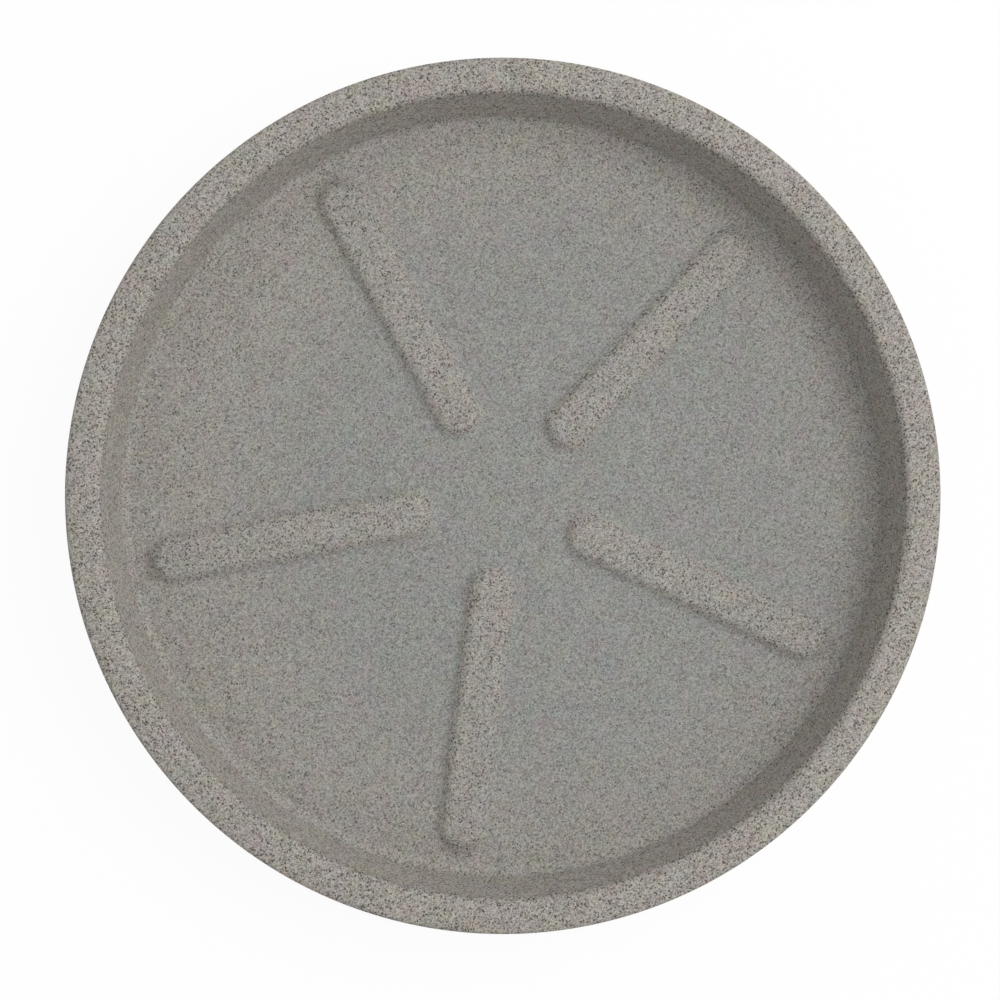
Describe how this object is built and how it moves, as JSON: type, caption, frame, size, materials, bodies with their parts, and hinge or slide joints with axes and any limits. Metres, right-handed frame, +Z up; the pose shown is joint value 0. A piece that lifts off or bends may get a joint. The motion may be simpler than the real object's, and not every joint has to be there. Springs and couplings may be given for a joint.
{
  "type": "plant saucer",
  "caption": "Round double-walled plant saucer with a broad rounded rim, a deep pan whose raised ribs hold the pot off the floor, and rubber pads under its base.",
  "frame": {"origin": "on the ground, under the centre of the saucer", "axes": "+Z up along the saucer's axis, +Y along the first rib, +X to the right of it"},
  "size_m": [0.406, 0.406, 0.0551],
  "materials": {
    "shell": "matte stone-effect plastic with fine dark and pale specks",
    "plug": "black plastic, satin",
    "pad": "black rubber"
  },
  "bodies": {
    "root": {"saucer_shell": "shell", "vent_plug": "plug", "foot_pad_1": "pad", "foot_pad_2": "pad", "foot_pad_3": "pad", "foot_pad_4": "pad", "foot_pad_5": "pad"}
  },
  "joints": []
}
